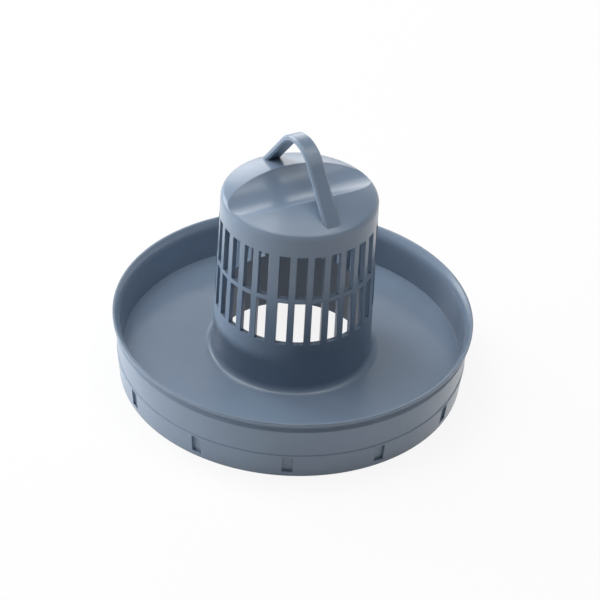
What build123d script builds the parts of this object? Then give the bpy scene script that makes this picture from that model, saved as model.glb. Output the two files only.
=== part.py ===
"""Vacuum filter frame: a round dish on a skirt, a slotted basket and a bridge handle, in one moulding."""
import math
import os

from build123d import *

# Sizes are in millimetres and angles in degrees; the skirt stands on Z = 0 round the Z axis.
# Walls
WALL = 2.2
BASKET_WALL = 2.0
FLOOR_THICKNESS = 2.0

# Dish, lip and skirt
RIM_RADIUS = 75.0
RIM_HEIGHT = 28.6
LIP_OVERHANG = 1.0
LIP_THICKNESS = 1.2
LIP_LAND = 0.8
FLARE_HEIGHT = 4.6
NECK_HEIGHT = 5.0
GROOVE_DEPTH = 1.0
GROOVE_RISE = 1.7
SKIRT_DRAFT = 5.0
FLOOR_HEIGHT = 11.0
BAND_HEIGHT = 11.2
BAND_STEP = 0.3

# Shallow pockets round the lower band of the skirt
POCKET_COUNT = 12
POCKET_WIDTH = 4.2
POCKET_DEPTH = 1.0
POCKET_HEIGHT = 8.0
POCKET_BOTTOM = 2.2
POCKET_ANGLE = -89.0

# Basket and its domed cap, which has a trough across it
BASKET_RADIUS = 33.4
BASKET_DRAFT = 1.25
BASKET_FOOT_BLEND = 3.2
CAP_EDGE_HEIGHT = 86.0
CAP_EDGE_RADIUS = 2.8
CAP_ANGLE = -60.5
DOME_RISE = 6.5
TROUGH_RADIUS = 20.0
TROUGH_LIFT = 0.1

# Slots of the basket: equal groups in each row, with a broad rib between groups
SLOT_ROWS = 2
SLOT_GROUPS = 4
SLOTS_PER_GROUP = 7
GROUP_GAP = 15.6
SLOT_WIDTH = 4.3
RING_HEIGHT = 1.9
PLAIN_FOOT_HEIGHT = 24.0
PLAIN_TOP_HEIGHT = 9.1

# Bridge handle over the cap
HANDLE_RISE = 19.5
HANDLE_FOOT_INSET = 3.4
HANDLE_BEND_RADIUS = 16.0
HANDLE_WIDTH = 6.8
HANDLE_THICKNESS = 2.8
HANDLE_CHAMFER = 0.8

# Derived sizes
SKIRT_TOP = RIM_HEIGHT - NECK_HEIGHT
SKIRT_TOP_RADIUS = RIM_RADIUS - LIP_OVERHANG
FLOOR_UNDERSIDE = FLOOR_HEIGHT - FLOOR_THICKNESS
CAP_RADIUS = BASKET_RADIUS - (CAP_EDGE_HEIGHT - FLOOR_HEIGHT) * math.tan(math.radians(BASKET_DRAFT))
DOME_RADIUS = (CAP_RADIUS**2 + DOME_RISE**2) / (2 * DOME_RISE)
DOME_TOP = CAP_EDGE_HEIGHT + DOME_RISE
TROUGH_AXIS_HEIGHT = CAP_EDGE_HEIGHT + TROUGH_LIFT + TROUGH_RADIUS
SLOT_PITCH = (360 / SLOT_GROUPS - GROUP_GAP) / (SLOTS_PER_GROUP - 1)
SLOT_BOTTOM = FLOOR_HEIGHT + PLAIN_FOOT_HEIGHT
SLOT_TOP = CAP_EDGE_HEIGHT - PLAIN_TOP_HEIGHT
SLOT_HEIGHT = (SLOT_TOP - SLOT_BOTTOM - (SLOT_ROWS - 1) * RING_HEIGHT) / SLOT_ROWS
HANDLE_TOP = DOME_TOP + HANDLE_RISE
HANDLE_FOOT_RADIUS = CAP_RADIUS - HANDLE_FOOT_INSET


def skirt_radius(height):
    """Outer radius of the tapered skirt at a height."""
    return SKIRT_TOP_RADIUS - (SKIRT_TOP - height) * math.tan(math.radians(SKIRT_DRAFT))


def basket_radius(height):
    """Outer radius of the drafted basket wall at a height."""
    return BASKET_RADIUS - (height - FLOOR_HEIGHT) * math.tan(math.radians(BASKET_DRAFT))


def dome_height(radius, offset=0.0):
    """Height of the dome, or of the shell's inner dome, at a radius."""
    return DOME_TOP - DOME_RADIUS + math.sqrt((DOME_RADIUS - offset) ** 2 - radius**2)


def skirt_outline():
    """Corners of the half section from the axis under the floor, down the skirt and up over the lip."""
    band_top = skirt_radius(BAND_HEIGHT)
    return [
        (0, FLOOR_UNDERSIDE),
        (skirt_radius(FLOOR_UNDERSIDE) - WALL, FLOOR_UNDERSIDE),
        (skirt_radius(0) - WALL, 0),
        (skirt_radius(0) + BAND_STEP, 0),
        (band_top + BAND_STEP, BAND_HEIGHT - BAND_STEP),
        (band_top, BAND_HEIGHT),
        (SKIRT_TOP_RADIUS, SKIRT_TOP),
        (SKIRT_TOP_RADIUS - GROOVE_DEPTH, SKIRT_TOP + GROOVE_RISE),
        (RIM_RADIUS, RIM_HEIGHT - LIP_THICKNESS),
        (RIM_RADIUS, RIM_HEIGHT),
        (RIM_RADIUS - LIP_LAND, RIM_HEIGHT),
    ]


def dish_outline():
    """Corners of the half section from the flare's foot down to the start of the basket's foot."""
    flare_foot = RIM_HEIGHT - FLARE_HEIGHT
    return [
        (skirt_radius(flare_foot) - WALL, flare_foot),
        (skirt_radius(FLOOR_HEIGHT) - WALL, FLOOR_HEIGHT),
        (BASKET_RADIUS + BASKET_FOOT_BLEND, FLOOR_HEIGHT),
    ]


def body_section():
    """Right half of the upright section through skirt, dish, basket and cap, solid inside the basket."""
    skirt = skirt_outline()
    dish = dish_outline()
    foot_end = FLOOR_HEIGHT + BASKET_FOOT_BLEND
    foot = (basket_radius(foot_end), foot_end)
    edge = (CAP_RADIUS, CAP_EDGE_HEIGHT)
    shoulder = (CAP_RADIUS / 2, dome_height(CAP_RADIUS / 2))
    up_wall = (edge[0] - foot[0], edge[1] - foot[1])
    down_dish = (dish[1][0] - dish[0][0], dish[1][1] - dish[0][1])
    with BuildSketch(Plane.XZ) as section:
        with BuildLine():
            Polyline(*skirt)
            Spline(skirt[-1], dish[0], tangents=((-1, -1), down_dish))
            Polyline(*dish)
            Spline(dish[-1], foot, tangents=((-1, 0), up_wall))
            Line(foot, edge)
            ThreePointArc(edge, shoulder, (0, DOME_TOP))
            Line((0, DOME_TOP), skirt[0])
        make_face()
        edge_corner = section.vertices().sort_by_distance(Vector(*edge))[0]
        fillet(edge_corner, CAP_EDGE_RADIUS)
    return section.sketch


def cavity_section():
    """Right half of the upright section of the basket's open inside."""
    mouth = basket_radius(0) - BASKET_WALL
    cap_inner = CAP_RADIUS - BASKET_WALL
    edge = (cap_inner, dome_height(cap_inner, BASKET_WALL))
    shoulder = (cap_inner / 2, dome_height(cap_inner / 2, BASKET_WALL))
    top = (0, dome_height(0, BASKET_WALL))
    with BuildSketch(Plane.XZ) as section:
        with BuildLine():
            Polyline(top, (0, 0), (mouth, 0), edge)
            ThreePointArc(edge, shoulder, top)
        make_face()
    return section.sketch


def trough(radius):
    """Level cylinder across the cap, square to the handle."""
    bar = Cylinder(radius, 4 * CAP_RADIUS, rotation=(0, 90, 0))
    return Pos(0, 0, TROUGH_AXIS_HEIGHT) * Rot(0, 0, CAP_ANGLE + 90) * bar


def outer_body():
    """Skirt, dish and basket as one solid of revolution, with the trough across the cap."""
    return revolve(body_section(), Axis.Z) - trough(TROUGH_RADIUS)


def handle_slope():
    """Slope of the legs, from the tangent between the round bend and the legs' outer foot on the dome."""
    fall = HANDLE_TOP - HANDLE_BEND_RADIUS - dome_height(HANDLE_FOOT_RADIUS)
    reach = math.hypot(HANDLE_FOOT_RADIUS, fall)
    return math.asin(HANDLE_BEND_RADIUS / reach) + math.atan2(fall, HANDLE_FOOT_RADIUS)


def handle():
    """Strap bent over the cap: two straight legs that meet in a round bend, with feet sunk in the cap."""
    slope = handle_slope()
    drop = HANDLE_THICKNESS / math.cos(slope)
    peak = HANDLE_TOP + HANDLE_BEND_RADIUS * (1 / math.cos(slope) - 1)
    sunk = dome_height(HANDLE_FOOT_RADIUS) - BASKET_WALL / 2
    outer = (peak - sunk) / math.tan(slope)
    inner = (peak - drop - sunk) / math.tan(slope)
    with BuildPart() as strap:
        with BuildSketch(Plane.XZ):
            with BuildLine():
                FilletPolyline((-outer, sunk), (0, peak), (outer, sunk), radius=HANDLE_BEND_RADIUS)
                Line((outer, sunk), (inner, sunk))
                bend = HANDLE_BEND_RADIUS - HANDLE_THICKNESS
                FilletPolyline((inner, sunk), (0, peak - drop), (-inner, sunk), radius=bend)
                Line((-inner, sunk), (-outer, sunk))
            make_face()
        extrude(amount=HANDLE_WIDTH / 2, both=True)
        long_edges = strap.faces().filter_by(Axis.Y).edges().group_by(Axis.Z)[1:]
        chamfer([edge for group in long_edges for edge in group], HANDLE_CHAMFER)
    return Rot(0, 0, CAP_ANGLE) * strap.part


def slots():
    """Radial bars that cut the slots of every row and group through the basket's wall."""
    start = CAP_RADIUS / 2
    reach = BASKET_RADIUS + BASKET_WALL - start
    half_group = (SLOTS_PER_GROUP - 1) * SLOT_PITCH / 2
    bar = Box(reach, SLOT_WIDTH, SLOT_HEIGHT, align=(Align.MIN, Align.CENTER, Align.MIN))
    bars = []
    for row in range(SLOT_ROWS):
        bottom = SLOT_BOTTOM + row * (SLOT_HEIGHT + RING_HEIGHT)
        for group in range(SLOT_GROUPS):
            first = CAP_ANGLE + group * 360 / SLOT_GROUPS - half_group
            angles = [first + i * SLOT_PITCH for i in range(SLOTS_PER_GROUP)]
            bars += [Rot(0, 0, angle) * Pos(start, 0, bottom) * bar for angle in angles]
    return bars


def pockets():
    """Blocks that cut the shallow pockets into the skirt's lower band."""
    middle = POCKET_BOTTOM + POCKET_HEIGHT / 2
    face = skirt_radius(middle) + BAND_STEP
    lean = Rot(0, SKIRT_DRAFT, 0)
    block = Pos(face, 0, middle) * lean * Box(2 * POCKET_DEPTH, POCKET_WIDTH, POCKET_HEIGHT)
    return [Rot(0, 0, POCKET_ANGLE + i * 360 / POCKET_COUNT) * block for i in range(POCKET_COUNT)]


def filter_frame():
    """The whole moulding."""
    cavity = revolve(cavity_section(), Axis.Z) - trough(TROUGH_RADIUS + BASKET_WALL)
    return outer_body() + handle() - cavity - slots() - pockets()


os.makedirs("parts", exist_ok=True)
frame = filter_frame()
frame.label = "filter_frame"
export_step(frame, "parts/filter_frame.step")
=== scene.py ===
"""Looks of the vacuum filter frame: satin blue-grey plastic on a white table, from the photograph's side."""
import math

import bpy
from mathutils import Matrix, Vector

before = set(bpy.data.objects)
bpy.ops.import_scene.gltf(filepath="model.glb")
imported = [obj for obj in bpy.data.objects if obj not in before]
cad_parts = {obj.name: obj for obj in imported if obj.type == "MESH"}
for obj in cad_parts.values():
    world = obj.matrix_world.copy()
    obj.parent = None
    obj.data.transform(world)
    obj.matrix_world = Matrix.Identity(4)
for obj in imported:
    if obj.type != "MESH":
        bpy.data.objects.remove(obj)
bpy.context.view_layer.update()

# Camera: place in metres, turns in radians, focal length in millimetres on a 36 mm sensor
CAMERA_PLACE = Vector((0.0, -0.67058, 0.52239))
CAMERA_YAW = 0.0038
CAMERA_PITCH = 0.6298
CAMERA_ROLL = 0.0607
CAMERA_LENS = 120.0

# Plastic: colours in linear light, lengths in metres, each noise as cells per metre and detail
PLASTIC_COLOUR = (0.202, 0.267, 0.358, 1.0)
PLASTIC_COLOUR_DEEP = (0.185, 0.245, 0.33, 1.0)
PLASTIC_ROUGHNESS = (0.205, 0.265)
PLASTIC_IOR = 1.5
COLOUR_NOISE = (45, 3)
ROUGHNESS_NOISE = (90, 4)
GRAIN_NOISE = (2400, 2)
GRAIN_STRENGTH = 0.06
GRAIN_DEPTH = 0.0002
EDGE_RADIUS = 0.0005
EDGE_SAMPLES = 8
NOISE_RANGE = (0.3, 0.7)

# Studio: a white table that is whiter far from its middle, and a white wall round it that fades to a
# darker ceiling as the view rises
WHITE = (1.0, 1.0, 1.0, 1.0)
FLOOR_REACH = 1.0
FLOOR_COLOUR = (0.93, 0.93, 0.93, 1.0)
FLOOR_FADE = (0.3, 0.9)
FLOOR_WHITE_SHARE = (0.88, 1.0)
AMBIENT = 0.03
WALL_FADE = (0.2, 0.5)
WALL_TO_CEILING = (1.0, 0.2)

# Lamps: compass and height angle in degrees, width and height in metres, watts, mirrored in the plastic
LAMPS = {
    "top_softbox": (0, 90, 1.2, 1.2, 9.0, True),
    "left_softbox": (168, 60, 1.3, 0.9, 9.5, True),
    "right_softbox": (0, 62, 0.9, 0.9, 3.3, True),
    "back_softbox": (95, 20, 0.9, 0.9, 4.2, True),
    "back_left_softbox": (142, 24, 0.6, 0.8, 6.0, True),
    "left_strip": (165, 3, 1.9, 0.14, 27.0, False),
}
LAMP_DISTANCE = 1.5
LAMP_AIM = Vector((0.0, 0.0, 0.04))


def node(tree, kind, **settings):
    """New shader node with its settings."""
    made = tree.nodes.new(kind)
    for name, value in settings.items():
        setattr(made, name, value)
    return made


def noise(tree, scale, detail):
    """Noise in object space at a scale in cells per metre."""
    place = node(tree, "ShaderNodeTexCoord")
    made = node(tree, "ShaderNodeTexNoise")
    made.inputs["Scale"].default_value = scale
    made.inputs["Detail"].default_value = detail
    tree.links.new(place.outputs["Object"], made.inputs["Vector"])
    return made.outputs["Fac"]


def ranged(tree, source, limits, values, curve="LINEAR"):
    """A source mapped so that its two limits give the two values."""
    made = node(tree, "ShaderNodeMapRange", interpolation_type=curve)
    made.inputs["From Min"].default_value = limits[0]
    made.inputs["From Max"].default_value = limits[1]
    made.inputs["To Min"].default_value = values[0]
    made.inputs["To Max"].default_value = values[1]
    tree.links.new(source, made.inputs["Value"])
    return made.outputs["Result"]


def cloudy_colour(tree):
    """Two close shades of the plastic, mixed in soft clouds."""
    tint = node(tree, "ShaderNodeMix", data_type="RGBA")
    tint.inputs["A"].default_value = PLASTIC_COLOUR
    tint.inputs["B"].default_value = PLASTIC_COLOUR_DEEP
    clouds = ranged(tree, noise(tree, *COLOUR_NOISE), NOISE_RANGE, (0.0, 1.0))
    tree.links.new(clouds, tint.inputs["Factor"])
    return tint.outputs["Result"]


def moulded_normal(tree):
    """Surface direction with soft edges and a fine moulded grain."""
    soft = node(tree, "ShaderNodeBevel", samples=EDGE_SAMPLES)
    soft.inputs["Radius"].default_value = EDGE_RADIUS
    grain = node(tree, "ShaderNodeBump")
    grain.inputs["Strength"].default_value = GRAIN_STRENGTH
    grain.inputs["Distance"].default_value = GRAIN_DEPTH
    tree.links.new(noise(tree, *GRAIN_NOISE), grain.inputs["Height"])
    tree.links.new(soft.outputs["Normal"], grain.inputs["Normal"])
    return grain.outputs["Normal"]


def plastic():
    """Moulded satin plastic: cloudy colour, uneven gloss, soft edges and a fine moulded grain."""
    material = bpy.data.materials.new("satin_plastic")
    material.use_nodes = True
    tree = material.node_tree
    shader = tree.nodes["Principled BSDF"]
    shader.inputs["IOR"].default_value = PLASTIC_IOR
    gloss = ranged(tree, noise(tree, *ROUGHNESS_NOISE), NOISE_RANGE, PLASTIC_ROUGHNESS)
    tree.links.new(cloudy_colour(tree), shader.inputs["Base Color"])
    tree.links.new(gloss, shader.inputs["Roughness"])
    tree.links.new(moulded_normal(tree), shader.inputs["Normal"])
    return material


def finish_piece(name, material):
    """Give a CAD node its material."""
    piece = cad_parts[name]
    piece.data.materials.clear()
    piece.data.materials.append(material)


def seen_directly(tree):
    """1 for camera, glossy and transmission rays, 0 for the rest."""
    path = node(tree, "ShaderNodeLightPath")
    seen = path.outputs["Is Camera Ray"]
    for name in ("Is Glossy Ray", "Is Transmission Ray"):
        either = node(tree, "ShaderNodeMath", operation="MAXIMUM")
        tree.links.new(seen, either.inputs[0])
        tree.links.new(path.outputs[name], either.inputs[1])
        seen = either.outputs["Value"]
    return seen


def blend(tree, share, first, second, output):
    """Shade the output with two shaders, the second by its share."""
    mix = node(tree, "ShaderNodeMixShader")
    tree.links.new(share, mix.inputs["Fac"])
    tree.links.new(first, mix.inputs[1])
    tree.links.new(second, mix.inputs[2])
    tree.links.new(mix.outputs["Shader"], tree.nodes[output].inputs["Surface"])


def white_table():
    """Matte white that is whitened where it is seen or mirrored, so that only a faint shadow stays."""
    material = bpy.data.materials.new("white_table")
    material.use_nodes = True
    tree = material.node_tree
    tree.nodes.remove(tree.nodes["Principled BSDF"])
    matte = node(tree, "ShaderNodeBsdfDiffuse")
    matte.inputs["Color"].default_value = FLOOR_COLOUR
    glow = node(tree, "ShaderNodeEmission")
    glow.inputs["Color"].default_value = WHITE
    place = node(tree, "ShaderNodeTexCoord")
    away = node(tree, "ShaderNodeVectorMath", operation="LENGTH")
    tree.links.new(place.outputs["Object"], away.inputs[0])
    whiteness = ranged(tree, away.outputs["Value"], FLOOR_FADE, FLOOR_WHITE_SHARE, "SMOOTHSTEP")
    share = node(tree, "ShaderNodeMath", operation="MULTIPLY")
    tree.links.new(seen_directly(tree), share.inputs[0])
    tree.links.new(whiteness, share.inputs[1])
    blend(tree, share.outputs["Value"], matte.outputs["BSDF"], glow.outputs["Emission"], "Material Output")
    return material


def floor():
    """Table that the frame stands on."""
    bpy.ops.mesh.primitive_plane_add(size=2 * FLOOR_REACH)
    table = bpy.context.object
    table.name = "table"
    table.data.materials.append(white_table())


def surround():
    """Surround that lights faintly and shows as a white wall round the table, darker above."""
    world = bpy.data.worlds.new("studio")
    bpy.context.scene.world = world
    world.use_nodes = True
    tree = world.node_tree
    dim = tree.nodes["Background"]
    dim.inputs["Color"].default_value = WHITE
    dim.inputs["Strength"].default_value = AMBIENT
    direction = node(tree, "ShaderNodeTexCoord")
    parts = node(tree, "ShaderNodeSeparateXYZ")
    tree.links.new(direction.outputs["Generated"], parts.inputs["Vector"])
    wall = node(tree, "ShaderNodeBackground")
    wall.inputs["Color"].default_value = WHITE
    level = ranged(tree, parts.outputs["Z"], WALL_FADE, WALL_TO_CEILING, "SMOOTHSTEP")
    tree.links.new(level, wall.inputs["Strength"])
    blend(tree, seen_directly(tree), dim.outputs["Background"], wall.outputs["Background"], "World Output")


def softbox(name, azimuth, elevation, width, height, watts, mirrored):
    """Soft lamp aimed at the object, at a compass angle and a height angle in degrees."""
    level = math.radians(azimuth)
    climb = math.radians(elevation)
    reach = LAMP_DISTANCE * math.cos(climb)
    place = Vector((reach * math.cos(level), reach * math.sin(level), LAMP_DISTANCE * math.sin(climb)))
    lamp = bpy.data.lights.new(name, "AREA")
    lamp.shape = "RECTANGLE"
    lamp.size = width
    lamp.size_y = height
    lamp.energy = watts
    holder = bpy.data.objects.new(name, lamp)
    holder.location = place
    holder.rotation_euler = (LAMP_AIM - place).to_track_quat("-Z", "Y").to_euler()
    holder.visible_camera = False
    holder.visible_glossy = mirrored
    bpy.context.scene.collection.objects.link(holder)


def camera():
    """Camera at the photograph's place, turned by its yaw, pitch and roll."""
    forward = Vector((
        math.sin(CAMERA_YAW) * math.cos(CAMERA_PITCH),
        math.cos(CAMERA_YAW) * math.cos(CAMERA_PITCH),
        -math.sin(CAMERA_PITCH),
    ))
    level = Vector((math.cos(CAMERA_YAW), -math.sin(CAMERA_YAW), 0.0))
    upright = level.cross(forward)
    right = math.cos(CAMERA_ROLL) * level + math.sin(CAMERA_ROLL) * upright
    up = math.cos(CAMERA_ROLL) * upright - math.sin(CAMERA_ROLL) * level
    turn = Matrix((right, up, -forward)).transposed()
    lens = bpy.data.cameras.new("camera")
    lens.lens = CAMERA_LENS
    holder = bpy.data.objects.new("camera", lens)
    holder.matrix_world = Matrix.Translation(CAMERA_PLACE) @ turn.to_4x4()
    bpy.context.scene.collection.objects.link(holder)
    bpy.context.scene.camera = holder


finish_piece("filter_frame", plastic())
floor()
surround()
for lamp_name, lamp_settings in LAMPS.items():
    softbox(lamp_name, *lamp_settings)
camera()
bpy.context.scene.view_settings.view_transform = "Standard"
